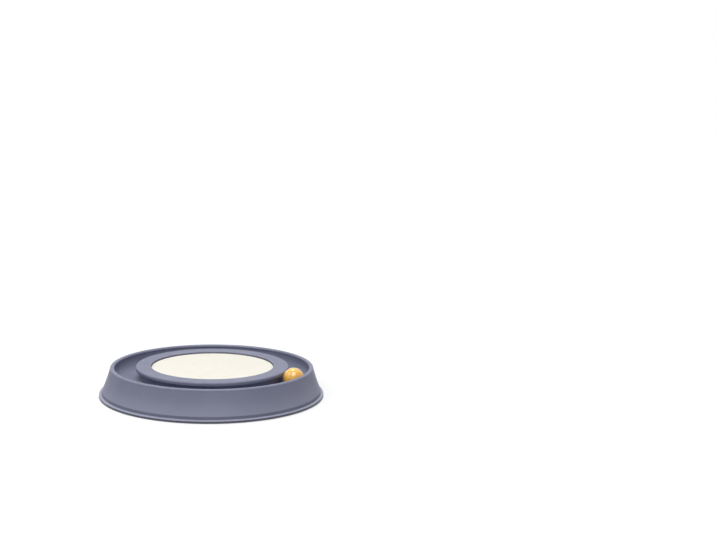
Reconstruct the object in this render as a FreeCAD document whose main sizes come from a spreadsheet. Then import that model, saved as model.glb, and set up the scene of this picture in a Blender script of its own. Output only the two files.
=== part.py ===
import FreeCAD, Part
import math
import os
import Sketcher
from FreeCAD import Placement, Rotation, Vector

# A round cat toy: a flared tray with a ring track, a ball that runs in it, and a
# centre platform with a cream scratch pad in its recess.
# Millimetres, +Z up, origin on the floor under the middle of the tray.

doc = FreeCAD.newDocument("TrackBallToy")

# Driving dimensions

SIZES = [
    ("base_diameter", 400.0, "outside of the foot flange"),
    ("overall_height", 53.5, "top of the platform above the floor"),
    ("wall", 2.6, "wall of the two mouldings"),
    ("floor_lift", 1.0, "the feet hold the tray this far off the floor"),
    ("flange_width", 4.8, "foot flange, outside the step"),
    ("flange_height", 4.2, "foot flange"),
    ("flange_round", 1.5, "top edge of the foot flange"),
    ("step_height", 5.2, "upright step between flange and skirt"),
    ("step_draft", 0.6, "lean of the step"),
    ("skirt_lean", 13.6, "how far the skirt leans in, foot to rim"),
    ("skirt_curve", 300.0, "radius of the skirt's hollow curve"),
    ("rim_width", 7.6, "rounded rim"),
    ("rim_drop", 1.0, "rim top below the platform top"),
    ("rim_round", 3.0, "rounding of the rim's two edges"),
    ("rim_core", 4.1, "solid top of the rim, below its rounding"),
    ("ball_diameter", 38.0, "track ball"),
    ("ball_wall", 1.6, "wall of the hollow ball"),
    ("ball_capture", 0.8, "the slot is narrower than the ball by this"),
    ("ball_bearing", -24.0, "where the ball stands, degrees about +Z from +X"),
    ("seam_groove", 0.3, "groove of the ball's welded seam"),
    ("bead_diameter", 8.0, "rattle bead"),
    ("run_gap", 0.3, "running gap of the ball and of the bead"),
    ("lip_height", 7.0, "side of the platform's lip"),
    ("lip_drop", 4.1, "middle of the ball below the lip's underside"),
    ("lip_overhang", 7.5, "lip beyond the platform's wall"),
    ("lip_round", 3.3, "top edge of the lip"),
    ("lip_under_round", 1.2, "lower edge of the lip"),
    ("lip_cove", 2.0, "hollow corner under the lip"),
    ("ring_width", 26.7, "flat ring round the recess"),
    ("recess_round", 1.0, "inner edge of the ring"),
    ("recess_depth", 11.5, "recess for the pad"),
    ("felt_thickness", 5.8, "felt of the scratch pad"),
    ("felt_round", 1.2, "top edge of the felt"),
    ("board_thickness", 2.5, "stiff board under the felt"),
    ("pad_gap", 0.5, "gap round the pad in its recess"),
    ("push_hole_diameter", 30.0, "finger hole under the pad"),
    ("deck_hole_diameter", 90.0, "opening in the tray's deck"),
    ("floor_slope", 24.0, "inner side of the track, degrees"),
    ("rebate_depth", 0.7, "seat of the platform's wall"),
    ("seat_gap", 0.3, "gap round that seat"),
    ("rib_thickness", 2.0, "gussets of the tray and ribs of the platform"),
    ("gussets", 12, "gussets between the track and the skirt"),
    ("gusset_bearing", 15.0, "first gusset, degrees"),
    ("gusset_bottom", 9.0, "lower edge of a gusset above the floor"),
    ("dish_ribs", 6, "ribs under the recess"),
    ("dish_rib_depth", 4.5, "depth of a rib below the recess"),
    ("screws", 6, "platform screws"),
    ("screw_bearing", 30.0, "first screw, degrees"),
    ("screw_shank", 3.6, "shank diameter of a screw"),
    ("screw_length", 15.0, "shank length of a screw"),
    ("screw_tip", 1.6, "pointed end of the shank"),
    ("head_diameter", 7.6, "head of a screw"),
    ("head_height", 2.6, "head of a screw"),
    ("head_round", 1.2, "edge of the head"),
    ("cross_length", 4.4, "cross recess of the head"),
    ("cross_width", 1.1, "cross recess of the head"),
    ("cross_depth", 1.6, "cross recess of the head"),
    ("screw_fit", 0.05, "shank to pilot hole, each side"),
    ("screw_clearance", 0.5, "shank to tray hole, each side"),
    ("boss_wall", 2.9, "wall of a screw boss"),
    ("collar_height", 4.0, "collar round a screw head"),
    ("collar_gap", 1.2, "collar to screw head, each side"),
    ("collar_wall", 1.5, "wall of that collar"),
    ("feet", 6, "rubber feet"),
    ("foot_diameter", 18.0, "rubber foot"),
    ("foot_thickness", 3.4, "rubber foot"),
    ("foot_round", 0.8, "lower edge of a foot"),
    ("foot_fit", 0.1, "foot to its pocket, each side"),
    ("post_wall", 2.2, "wall of a foot post round its pocket"),
]

sheet = doc.addObject("Spreadsheet::Sheet", "Sizes")
for row, (alias, value, note) in enumerate(SIZES, start=1):
    sheet.set(f"A{row}", alias.replace("_", " "))
    sheet.set(f"B{row}", str(value))
    sheet.set(f"C{row}", note)
    sheet.setAlias(f"B{row}", alias)
doc.recompute()

# Sizes that follow from the driving ones

LAYOUT = [
    ("base_radius", "Sizes.base_diameter / 2"),
    ("ball_radius", "Sizes.ball_diameter / 2"),
    ("ball_bore", "Layout.ball_radius - Sizes.ball_wall"),
    ("ball_seam", "Layout.ball_radius - Sizes.seam_groove"),
    ("ball_seam_edge", "sqrt(Layout.ball_radius ^ 2 - Sizes.seam_groove ^ 2)"),
    ("bead_radius", "Sizes.bead_diameter / 2"),
    # foot flange, step, skirt and rim
    ("flange_top", "Sizes.floor_lift + Sizes.flange_height"),
    ("flange_side", "Layout.flange_top - Sizes.flange_round"),
    ("flange_edge", "Layout.base_radius - Sizes.flange_round"),
    ("step_radius", "Layout.base_radius - Sizes.flange_width"),
    ("skirt_low_radius", "Layout.step_radius - Sizes.step_draft"),
    ("skirt_low", "Layout.flange_top + Sizes.step_height"),
    ("rim_top", "Sizes.overall_height - Sizes.rim_drop"),
    ("skirt_top", "Layout.rim_top - Sizes.rim_round"),
    ("rim_outer", "Layout.skirt_low_radius - Sizes.skirt_lean"),
    ("rim_outer_edge", "Layout.rim_outer - Sizes.rim_round"),
    ("rim_inner", "Layout.rim_outer - Sizes.rim_width"),
    ("rim_inner_edge", "Layout.rim_inner + Sizes.rim_round"),
    # circle of the skirt's hollow curve
    ("skirt_rise", "Layout.skirt_top - Layout.skirt_low"),
    ("skirt_chord", "sqrt(Sizes.skirt_lean ^ 2 + Layout.skirt_rise ^ 2)"),
    ("skirt_depth", "sqrt(Sizes.skirt_curve ^ 2 - Layout.skirt_chord ^ 2 / 4)"),
    ("skirt_shift", "Layout.skirt_depth * Layout.skirt_rise / Layout.skirt_chord"),
    ("skirt_lift", "Layout.skirt_depth * Sizes.skirt_lean / Layout.skirt_chord"),
    (
        "skirt_centre_radius",
        "(Layout.skirt_low_radius + Layout.rim_outer) / 2 + Layout.skirt_shift",
    ),
    (
        "skirt_centre_height",
        "(Layout.skirt_low + Layout.skirt_top) / 2 + Layout.skirt_lift",
    ),
    # inside of the skirt
    ("flange_inner", "Layout.step_radius - Sizes.wall"),
    ("skirt_inner_low", "Layout.skirt_low_radius - Sizes.wall"),
    ("hollow_top", "Layout.skirt_top - Sizes.rim_core"),
    ("hollow_fall", "Layout.hollow_top - Layout.skirt_centre_height"),
    ("hollow_reach", "sqrt(Sizes.skirt_curve ^ 2 - Layout.hollow_fall ^ 2)"),
    (
        "skirt_inner_top",
        "Layout.skirt_centre_radius - Layout.hollow_reach - Sizes.wall",
    ),
    # track: the ball stands in an arc, held down by the platform's lip and by the rim
    (
        "platform_radius",
        "Layout.rim_inner - Sizes.ball_diameter + Sizes.ball_capture",
    ),
    ("track_radius", "(Layout.rim_inner + Layout.platform_radius) / 2"),
    ("lip_under", "Sizes.overall_height - Sizes.lip_height"),
    ("ball_height", "Layout.lip_under - Sizes.lip_drop"),
    ("trough_radius", "Layout.ball_radius + 2 * Sizes.run_gap"),
    ("trough_height", "Layout.ball_height + Sizes.run_gap"),
    ("trough_wall", "Layout.track_radius + Layout.trough_radius"),
    ("rim_ledge", "Layout.trough_wall - Layout.rim_inner"),
    ("rim_under", "Layout.lip_under + Layout.rim_ledge"),
    ("rim_under_top", "Layout.rim_under + Layout.rim_ledge"),
    ("slope_sin", "sin(Sizes.floor_slope * 1deg)"),
    ("slope_cos", "cos(Sizes.floor_slope * 1deg)"),
    ("slope_tan", "tan(Sizes.floor_slope * 1deg)"),
    (
        "slope_radius",
        "Layout.track_radius - Layout.trough_radius * Layout.slope_sin",
    ),
    (
        "slope_height",
        "Layout.trough_height - Layout.trough_radius * Layout.slope_cos",
    ),
    # deck, with the seat of the platform's wall
    ("platform_wall", "Layout.platform_radius - Sizes.lip_overhang"),
    ("seat_radius", "Layout.platform_wall + Sizes.seat_gap"),
    ("seat_run", "Layout.slope_radius - Layout.seat_radius"),
    ("seat_top", "Layout.slope_height + Layout.seat_run * Layout.slope_tan"),
    ("deck_top", "Layout.seat_top - Sizes.rebate_depth"),
    ("deck_under", "Layout.deck_top - Sizes.wall"),
    ("deck_hole", "Sizes.deck_hole_diameter / 2"),
    # underside of the track
    ("under_arc", "Layout.trough_radius + Sizes.wall"),
    ("under_wall", "Layout.trough_wall + Sizes.wall"),
    (
        "under_slope_radius",
        "Layout.track_radius - Layout.under_arc * Layout.slope_sin",
    ),
    (
        "under_slope_height",
        "Layout.trough_height - Layout.under_arc * Layout.slope_cos",
    ),
    ("under_rise", "Layout.deck_under - Layout.under_slope_height"),
    (
        "under_deck_radius",
        "Layout.under_slope_radius - Layout.under_rise / Layout.slope_tan",
    ),
    # gussets of the tray, from the track out to the skirt, their edges sunk in the walls
    ("rib_sink", "Sizes.wall / 2"),
    ("gusset_arc", "Layout.trough_radius + Layout.rib_sink"),
    ("gusset_floor", "Layout.trough_height - Layout.gusset_arc"),
    ("gusset_wall", "Layout.trough_wall + Layout.rib_sink"),
    ("gusset_top", "Layout.hollow_top - Sizes.wall"),
    ("gusset_outer_top", "Layout.skirt_inner_top + Layout.rib_sink"),
    ("gusset_outer", "Layout.skirt_inner_low + Layout.rib_sink"),
    # platform
    ("recess_radius", "Layout.platform_radius - Sizes.ring_width"),
    ("recess_edge", "Layout.recess_radius + Sizes.recess_round"),
    ("recess_side", "Sizes.overall_height - Sizes.recess_round"),
    ("recess_floor", "Sizes.overall_height - Sizes.recess_depth"),
    ("recess_outer", "Layout.recess_radius + Sizes.wall"),
    ("recess_under", "Layout.recess_floor - Sizes.wall"),
    ("lip_edge", "Layout.platform_radius - Sizes.lip_round"),
    ("lip_side", "Sizes.overall_height - Sizes.lip_round"),
    ("lip_side_low", "Layout.lip_under + Sizes.lip_under_round"),
    ("lip_under_edge", "Layout.platform_radius - Sizes.lip_under_round"),
    ("cove_radius", "Layout.platform_wall + Sizes.lip_cove"),
    ("cove_height", "Layout.lip_under - Sizes.lip_cove"),
    ("ring_under", "Sizes.overall_height - Sizes.wall"),
    ("platform_bore", "Layout.platform_wall - Sizes.wall"),
    ("push_hole", "Sizes.push_hole_diameter / 2"),
    ("dish_rib_inner", "Layout.push_hole + 2 * Sizes.wall"),
    ("dish_rib_low", "Layout.recess_under - Sizes.dish_rib_depth"),
    ("dish_rib_top", "Layout.recess_floor - Layout.rib_sink"),
    ("dish_rib_wall", "Layout.recess_radius + Layout.rib_sink"),
    ("dish_rib_ring", "Sizes.overall_height - Layout.rib_sink"),
    ("dish_rib_outer", "Layout.platform_wall - Layout.rib_sink"),
    # scratch pad
    ("pad_radius", "Layout.recess_radius - Sizes.pad_gap"),
    ("felt_edge", "Layout.pad_radius - Sizes.felt_round"),
    ("felt_low", "Layout.recess_floor + Sizes.board_thickness"),
    ("felt_top", "Layout.felt_low + Sizes.felt_thickness"),
    ("felt_side", "Layout.felt_top - Sizes.felt_round"),
    # screws, in bosses midway between the recess and the platform's wall
    ("screw_circle", "(Layout.recess_outer + Layout.platform_bore) / 2"),
    ("shank_radius", "Sizes.screw_shank / 2"),
    ("shank_end", "Layout.deck_under + Sizes.screw_length"),
    ("shank_side", "Layout.shank_end - Sizes.screw_tip"),
    ("tip_radius", "Layout.shank_radius / 4"),
    ("head_radius", "Sizes.head_diameter / 2"),
    ("head_low", "Layout.deck_under - Sizes.head_height"),
    ("head_side", "Layout.head_low + Sizes.head_round"),
    ("head_face", "Layout.head_radius - Sizes.head_round"),
    ("pilot_radius", "Layout.shank_radius + Sizes.screw_fit"),
    ("screw_hole", "Layout.shank_radius + Sizes.screw_clearance"),
    ("boss_radius", "Layout.pilot_radius + Sizes.boss_wall"),
    ("boss_length", "Layout.ring_under + Layout.rib_sink - Layout.deck_top"),
    ("collar_bore", "Layout.head_radius + Sizes.collar_gap"),
    ("collar_radius", "Layout.collar_bore + Sizes.collar_wall"),
    # feet, in posts under the track
    ("foot_radius", "Sizes.foot_diameter / 2"),
    ("foot_face", "Layout.foot_radius - Sizes.foot_round"),
    ("foot_pocket", "Layout.foot_radius + Sizes.foot_fit"),
    ("pocket_depth", "Sizes.foot_thickness - Sizes.floor_lift"),
    ("post_radius", "Layout.foot_pocket + Sizes.post_wall"),
    ("track_floor", "Layout.trough_height - Layout.trough_radius"),
    ("post_length", "Layout.track_floor + Sizes.wall - Sizes.floor_lift"),
    # ball and bead at the ball's bearing
    ("ball_cos", "cos(Sizes.ball_bearing * 1deg)"),
    ("ball_sin", "sin(Sizes.ball_bearing * 1deg)"),
    ("ball_x", "Layout.track_radius * Layout.ball_cos"),
    ("ball_y", "Layout.track_radius * Layout.ball_sin"),
    ("bead_rise", "Layout.bead_radius + Sizes.run_gap"),
    ("bead_height", "Layout.ball_height - Layout.ball_bore + Layout.bead_rise"),
]

layout = doc.addObject("App::VarSet", "Layout")
for name, formula in LAYOUT:
    layout.addProperty("App::PropertyFloat", name)
    layout.setExpression(name, formula)
doc.recompute()


def number(formula):
    return float(layout.evalExpression(formula))


def origin_part(body, role):
    return next(part for part in body.Origin.OriginFeatures if part.Role == role)


def new_body(label):
    body = doc.addObject("PartDesign::Body", label)
    body.Label = label
    return body


def new_sketch(body, name, plane, height=None, bearing="0", reach=None):
    # a sketch on an origin plane of its own body. height lifts it off that plane, bearing
    # turns it about the upright axis, and reach carries its origin out along that bearing
    sketch = body.newObject("Sketcher::SketchObject", name)
    sketch.AttachmentSupport = (origin_part(body, plane), "")
    sketch.MapMode = "FlatFace"
    flat = plane == "XY_Plane"
    upright = Vector(0, 0, 1) if flat else Vector(0, 1, 0)
    sketch.AttachmentOffset = Placement(Vector(), Rotation(upright, 1))
    sketch.setExpression("AttachmentOffset.Rotation.Angle", f"{bearing} * 1deg")
    if height:
        sketch.setExpression("AttachmentOffset.Base.z", height)
    if reach:
        sideways = f"{reach} * sin({bearing} * 1deg)"
        sketch.setExpression("AttachmentOffset.Base.x", f"{reach} * cos({bearing} * 1deg)")
        if flat:
            sketch.setExpression("AttachmentOffset.Base.y", sideways)
        else:
            sketch.setExpression("AttachmentOffset.Base.z", f"-{sideways}")
    doc.recompute()
    return sketch


def bind(sketch, constraint, formula):
    # adds a constraint and binds its value to a formula
    index = sketch.addConstraint(constraint)
    sketch.setExpression(f"Constraints[{index}]", formula)


def place_point(sketch, edge, end, x, y):
    # holds a point at x, y from the sketch's origin, or on the axis where one is nothing
    for kind, axis, formula in (("DistanceX", -2, x), ("DistanceY", -1, y)):
        value = number(formula)
        if formula == "0":
            sketch.addConstraint(Sketcher.Constraint("PointOnObject", edge, end, axis))
        else:
            bind(sketch, Sketcher.Constraint(kind, -1, 1, edge, end, value), formula)


def arc_between(start, end, radius, side):
    # the short arc from start to end, its centre on the left or right of the way there
    chord = end - start
    normal = Vector(-chord.y, chord.x, 0).normalize()
    depth = math.sqrt(max(radius**2 - chord.Length**2 / 4, 0.0))
    centre = (start + end) * 0.5 + normal * (depth if side == "left" else -depth)
    first, last = (
        math.atan2(point.y - centre.y, point.x - centre.x) for point in (start, end)
    )
    circle = Part.Circle(centre, Vector(0, 0, 1), radius)
    if side == "left":
        return Part.ArcOfCircle(circle, first, last)
    return Part.ArcOfCircle(circle, last, first)


def outline(sketch, corners, arcs=None):
    # a closed outline through corners, each a pair of formulas. arcs maps a corner's
    # number to the radius and side of the arc that leaves it
    arcs = arcs or {}
    points = [Vector(number(x), number(y), 0) for x, y in corners]
    edges = []
    for i, start in enumerate(points):
        end = points[(i + 1) % len(points)]
        if i in arcs:
            radius, side = arcs[i]
            shape = arc_between(start, end, number(radius), side)
            ends = (1, 2) if side == "left" else (2, 1)
        else:
            shape = Part.LineSegment(start, end)
            ends = (1, 2)
        edges.append((sketch.addGeometry(shape), *ends))
    for i, (edge, first, last) in enumerate(edges):
        following, its_first, _ = edges[(i + 1) % len(edges)]
        sketch.addConstraint(
            Sketcher.Constraint("Coincident", edge, last, following, its_first)
        )
        place_point(sketch, edge, first, *corners[i])
    for i, (radius, _) in arcs.items():
        bind(sketch, Sketcher.Constraint("Radius", edges[i][0], number(radius)), radius)


def circle(sketch, radius):
    # a circle about the sketch's origin
    shape = Part.Circle(Vector(0, 0, 0), Vector(0, 0, 1), number(radius))
    edge = sketch.addGeometry(shape)
    sketch.addConstraint(Sketcher.Constraint("Coincident", edge, 3, -1, 1))
    bind(sketch, Sketcher.Constraint("Radius", edge, number(radius)), radius)


def volume(body):
    return body.Tip.Shape.Volume if body.Tip else 0.0


def finish_feature(body, feature, before, adds):
    # the body has to grow or shrink by the feature, so one that points the wrong way shows
    doc.recompute()
    change = volume(body) - before
    if (change > 0) != adds or abs(change) < 1e-3:
        raise ValueError(f"{feature.Label} changes the volume by {change:.3f}")
    return feature


def turn(body, name, sketch, adds=True):
    # a full turn about the sketch's upright axis
    kind = "PartDesign::Revolution" if adds else "PartDesign::Groove"
    before = volume(body)
    feature = body.newObject(kind, name)
    feature.Profile = (sketch, [""])
    feature.ReferenceAxis = (sketch, ["V_Axis"])
    feature.Angle = 360
    return finish_feature(body, feature, before, adds)


def extrude(body, name, sketch, length, adds=True, down=False, both_ways=False):
    # a pad or a pocket. It goes up, or down, or half each way
    before = volume(body)
    feature = body.newObject("PartDesign::Pad" if adds else "PartDesign::Pocket", name)
    feature.Profile = (sketch, [""])
    feature.setExpression("Length", length)
    feature.Reversed = down if adds else not down
    if both_ways:
        feature.SideType = "Symmetric"
    return finish_feature(body, feature, before, adds)


def repeat(body, name, features, count, adds=True):
    # the features again, evenly round the upright axis
    before = volume(body)
    pattern = body.newObject("PartDesign::PolarPattern", name)
    pattern.Originals = features
    pattern.Axis = (origin_part(body, "Z_Axis"), [""])
    pattern.Angle = 360
    pattern.setExpression("Occurrences", count)
    body.Tip = pattern
    return finish_feature(body, pattern, before, adds)


# Tray: foot flange, step, skirt, rim, track and deck, with gussets, posts and collars


def tray_shell(body):
    section = new_sketch(body, "TraySection", "XZ_Plane")
    corners = [
        ("Layout.deck_hole", "Layout.deck_top"),
        ("Layout.seat_radius", "Layout.deck_top"),
        ("Layout.seat_radius", "Layout.seat_top"),
        ("Layout.slope_radius", "Layout.slope_height"),
        ("Layout.trough_wall", "Layout.trough_height"),
        ("Layout.trough_wall", "Layout.rim_under"),
        ("Layout.rim_inner", "Layout.rim_under_top"),
        ("Layout.rim_inner", "Layout.skirt_top"),
        ("Layout.rim_inner_edge", "Layout.rim_top"),
        ("Layout.rim_outer_edge", "Layout.rim_top"),
        ("Layout.rim_outer", "Layout.skirt_top"),
        ("Layout.skirt_low_radius", "Layout.skirt_low"),
        ("Layout.step_radius", "Layout.flange_top"),
        ("Layout.flange_edge", "Layout.flange_top"),
        ("Layout.base_radius", "Layout.flange_side"),
        ("Layout.base_radius", "Sizes.floor_lift"),
        ("Layout.flange_inner", "Sizes.floor_lift"),
        ("Layout.skirt_inner_low", "Layout.skirt_low"),
        ("Layout.skirt_inner_top", "Layout.hollow_top"),
        ("Layout.under_wall", "Layout.hollow_top"),
        ("Layout.under_wall", "Layout.trough_height"),
        ("Layout.under_slope_radius", "Layout.under_slope_height"),
        ("Layout.under_deck_radius", "Layout.deck_under"),
        ("Layout.deck_hole", "Layout.deck_under"),
    ]
    arcs = {
        3: ("Layout.trough_radius", "left"),
        7: ("Sizes.rim_round", "right"),
        9: ("Sizes.rim_round", "right"),
        10: ("Sizes.skirt_curve", "left"),
        13: ("Sizes.flange_round", "right"),
        17: ("Sizes.skirt_curve", "right"),
        20: ("Layout.under_arc", "right"),
    }
    outline(section, corners, arcs)
    turn(body, "TrayShell", section)


def tray_gussets(body):
    bearing = "Sizes.gusset_bearing"
    section = new_sketch(body, "GussetSection", "XZ_Plane", bearing=bearing)
    corners = [
        ("Layout.track_radius", "Sizes.gusset_bottom"),
        ("Layout.track_radius", "Layout.gusset_floor"),
        ("Layout.gusset_wall", "Layout.trough_height"),
        ("Layout.gusset_wall", "Layout.gusset_top"),
        ("Layout.gusset_outer_top", "Layout.gusset_top"),
        ("Layout.gusset_outer", "Layout.skirt_low"),
        ("Layout.gusset_outer", "Sizes.gusset_bottom"),
    ]
    outline(section, corners, {1: ("Layout.gusset_arc", "left")})
    gusset = extrude(body, "Gusset", section, "Sizes.rib_thickness", both_ways=True)
    repeat(body, "Gussets", [gusset], "Sizes.gussets")


def foot_posts(body):
    reach = "Layout.track_radius"
    ring = new_sketch(body, "PostCircle", "XY_Plane", "Sizes.floor_lift", reach=reach)
    circle(ring, "Layout.post_radius")
    post = extrude(body, "FootPost", ring, "Layout.post_length")
    repeat(body, "FootPosts", [post], "Sizes.feet")
    # the track's own space, cut again out of the tops of the posts
    space = new_sketch(body, "TrackSection", "XZ_Plane")
    corners = [
        ("Layout.seat_radius", "Layout.rim_under"),
        ("Layout.seat_radius", "Layout.seat_top"),
        ("Layout.slope_radius", "Layout.slope_height"),
        ("Layout.trough_wall", "Layout.trough_height"),
        ("Layout.trough_wall", "Layout.rim_under"),
    ]
    outline(space, corners, {2: ("Layout.trough_radius", "left")})
    turn(body, "TrackSpace", space, adds=False)
    hollow = new_sketch(body, "PocketCircle", "XY_Plane", "Sizes.floor_lift", reach=reach)
    circle(hollow, "Layout.foot_pocket")
    pocket = extrude(body, "FootPocket", hollow, "Layout.pocket_depth", adds=False)
    repeat(body, "FootPockets", [pocket], "Sizes.feet", adds=False)


def screw_sketch(body, name, height):
    # a level sketch about the first screw's axis
    bearing = "Sizes.screw_bearing"
    return new_sketch(body, name, "XY_Plane", height, bearing, "Layout.screw_circle")


def screw_collars(body):
    ring = screw_sketch(body, "CollarCircles", "Layout.deck_under")
    circle(ring, "Layout.collar_radius")
    circle(ring, "Layout.collar_bore")
    collar = extrude(body, "ScrewCollar", ring, "Sizes.collar_height", down=True)
    repeat(body, "ScrewCollars", [collar], "Sizes.screws")
    hollow = screw_sketch(body, "ScrewHoleCircle", "Layout.deck_under")
    circle(hollow, "Layout.screw_hole")
    hole = extrude(body, "ScrewHole", hollow, "2 * Sizes.wall", adds=False)
    repeat(body, "ScrewHoles", [hole], "Sizes.screws", adds=False)


def make_tray():
    body = new_body("base_tray")
    tray_shell(body)
    tray_gussets(body)
    foot_posts(body)
    screw_collars(body)
    return body


# Platform: ring top with its lip, recess for the pad, wall, ribs and screw bosses


def make_platform():
    body = new_body("centre_platform")
    section = new_sketch(body, "PlatformSection", "XZ_Plane")
    corners = [
        ("Layout.push_hole", "Layout.recess_floor"),
        ("Layout.recess_radius", "Layout.recess_floor"),
        ("Layout.recess_radius", "Layout.recess_side"),
        ("Layout.recess_edge", "Sizes.overall_height"),
        ("Layout.lip_edge", "Sizes.overall_height"),
        ("Layout.platform_radius", "Layout.lip_side"),
        ("Layout.platform_radius", "Layout.lip_side_low"),
        ("Layout.lip_under_edge", "Layout.lip_under"),
        ("Layout.cove_radius", "Layout.lip_under"),
        ("Layout.platform_wall", "Layout.cove_height"),
        ("Layout.platform_wall", "Layout.deck_top"),
        ("Layout.platform_bore", "Layout.deck_top"),
        ("Layout.platform_bore", "Layout.ring_under"),
        ("Layout.recess_outer", "Layout.ring_under"),
        ("Layout.recess_outer", "Layout.recess_under"),
        ("Layout.push_hole", "Layout.recess_under"),
    ]
    arcs = {
        2: ("Sizes.recess_round", "right"),
        4: ("Sizes.lip_round", "right"),
        6: ("Sizes.lip_under_round", "right"),
        8: ("Sizes.lip_cove", "left"),
    }
    outline(section, corners, arcs)
    turn(body, "PlatformShell", section)

    below = new_sketch(body, "DishRibSection", "XZ_Plane")
    corners = [
        ("Layout.dish_rib_inner", "Layout.dish_rib_low"),
        ("Layout.dish_rib_inner", "Layout.dish_rib_top"),
        ("Layout.dish_rib_wall", "Layout.dish_rib_top"),
        ("Layout.dish_rib_wall", "Layout.dish_rib_ring"),
        ("Layout.dish_rib_outer", "Layout.dish_rib_ring"),
        ("Layout.dish_rib_outer", "Layout.dish_rib_low"),
    ]
    outline(below, corners)
    rib = extrude(body, "DishRib", below, "Sizes.rib_thickness", both_ways=True)
    repeat(body, "DishRibs", [rib], "Sizes.dish_ribs")

    ring = screw_sketch(body, "BossCircles", "Layout.deck_top")
    circle(ring, "Layout.boss_radius")
    circle(ring, "Layout.pilot_radius")
    boss = extrude(body, "ScrewBoss", ring, "Layout.boss_length")
    repeat(body, "ScrewBosses", [boss], "Sizes.screws")
    return body


# Scratch pad: felt on a stiff board


def make_felt():
    body = new_body("scratch_pad")
    section = new_sketch(body, "FeltSection", "XZ_Plane")
    corners = [
        ("0", "Layout.felt_low"),
        ("Layout.pad_radius", "Layout.felt_low"),
        ("Layout.pad_radius", "Layout.felt_side"),
        ("Layout.felt_edge", "Layout.felt_top"),
        ("0", "Layout.felt_top"),
    ]
    outline(section, corners, {2: ("Sizes.felt_round", "left")})
    turn(body, "Felt", section)
    return body


def make_board():
    board = doc.addObject("Part::Cylinder", "pad_board")
    board.Label = "pad_board"
    board.setExpression("Radius", "Layout.pad_radius")
    board.setExpression("Height", "Sizes.board_thickness")
    board.setExpression("Placement.Base.z", "Layout.recess_floor")
    return board


# Screws: pan heads below the deck, shanks up into the platform's bosses


def cross_outline(sketch):
    # a cross about the sketch's origin, made of twelve corners
    long = "Sizes.cross_length / 2"
    short = "Sizes.cross_width / 2"
    quarter = [(long, short), (short, short), (short, long)]
    corners = list(quarter)
    corners += [(f"-{x}", y) for x, y in reversed(quarter)]
    corners += [(f"-{x}", f"-{y}") for x, y in quarter]
    corners += [(x, f"-{y}") for x, y in reversed(quarter)]
    outline(sketch, corners)


def make_screws():
    body = new_body("platform_screws")
    body.AllowCompound = True
    bearing = "Sizes.screw_bearing"
    section = new_sketch(
        body, "ScrewSection", "XZ_Plane", None, bearing, "Layout.screw_circle"
    )
    corners = [
        ("0", "Layout.head_low"),
        ("Layout.head_face", "Layout.head_low"),
        ("Layout.head_radius", "Layout.head_side"),
        ("Layout.head_radius", "Layout.deck_under"),
        ("Layout.shank_radius", "Layout.deck_under"),
        ("Layout.shank_radius", "Layout.shank_side"),
        ("Layout.tip_radius", "Layout.shank_end"),
        ("0", "Layout.shank_end"),
    ]
    outline(section, corners, {1: ("Sizes.head_round", "left")})
    screw = turn(body, "Screw", section)
    cross = screw_sketch(body, "CrossOutline", "Layout.head_low")
    cross_outline(cross)
    recess = extrude(body, "CrossRecess", cross, "Sizes.cross_depth", adds=False)
    repeat(body, "Screws", [screw, recess], "Sizes.screws")
    return body


# Feet: rubber discs in the pockets of the posts


def make_foot(index):
    body = new_body(f"foot_pad_{index + 1}")
    section = new_sketch(body, "FootSection", "XZ_Plane")
    corners = [
        ("0", "0"),
        ("Layout.foot_face", "0"),
        ("Layout.foot_radius", "Sizes.foot_round"),
        ("Layout.foot_radius", "Sizes.foot_thickness"),
        ("0", "Sizes.foot_thickness"),
    ]
    outline(section, corners, {1: ("Sizes.foot_round", "left")})
    turn(body, "Foot", section)
    bearing = f"{index} * 360deg / Sizes.feet"
    body.setExpression("Placement.Base.x", f"Layout.track_radius * cos({bearing})")
    body.setExpression("Placement.Base.y", f"Layout.track_radius * sin({bearing})")
    return body


# Ball: two welded half shells, and the bead that rattles inside


def make_half_ball(label, angle):
    body = new_body(label)
    section = new_sketch(body, "HalfBallSection", "XZ_Plane")
    corners = [
        ("Layout.ball_bore", "0"),
        ("Layout.ball_seam", "0"),
        ("Layout.ball_seam_edge", "Sizes.seam_groove"),
        ("0", "Layout.ball_radius"),
        ("0", "Layout.ball_bore"),
    ]
    arcs = {2: ("Layout.ball_radius", "left"), 4: ("Layout.ball_bore", "right")}
    outline(section, corners, arcs)
    turn(body, "HalfBall", section)
    # laid over, so that the half shell's own axis is the one that the ball rolls on
    along_track = Vector(-number("Layout.ball_sin"), number("Layout.ball_cos"), 0)
    body.Placement = Placement(Vector(), Rotation(along_track, angle))
    body.setExpression("Placement.Base.x", "Layout.ball_x")
    body.setExpression("Placement.Base.y", "Layout.ball_y")
    body.setExpression("Placement.Base.z", "Layout.ball_height")
    return body


def make_bead():
    bead = doc.addObject("Part::Sphere", "rattle_bead")
    bead.Label = "rattle_bead"
    bead.setExpression("Radius", "Layout.bead_radius")
    bead.setExpression("Placement.Base.x", "Layout.ball_x")
    bead.setExpression("Placement.Base.y", "Layout.ball_y")
    bead.setExpression("Placement.Base.z", "Layout.bead_height")
    return bead


nodes = [make_tray(), make_platform(), make_felt(), make_board(), make_screws()]
nodes += [make_foot(index) for index in range(int(number("Sizes.feet")))]
nodes += [make_half_ball("ball_outer_half", 90), make_half_ball("ball_inner_half", -90)]
nodes.append(make_bead())
doc.recompute()

for thing in doc.Objects:
    if "Invalid" in thing.State or "Error" in thing.State:
        raise ValueError(f"{thing.Label} did not recompute: {thing.State}")

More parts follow.
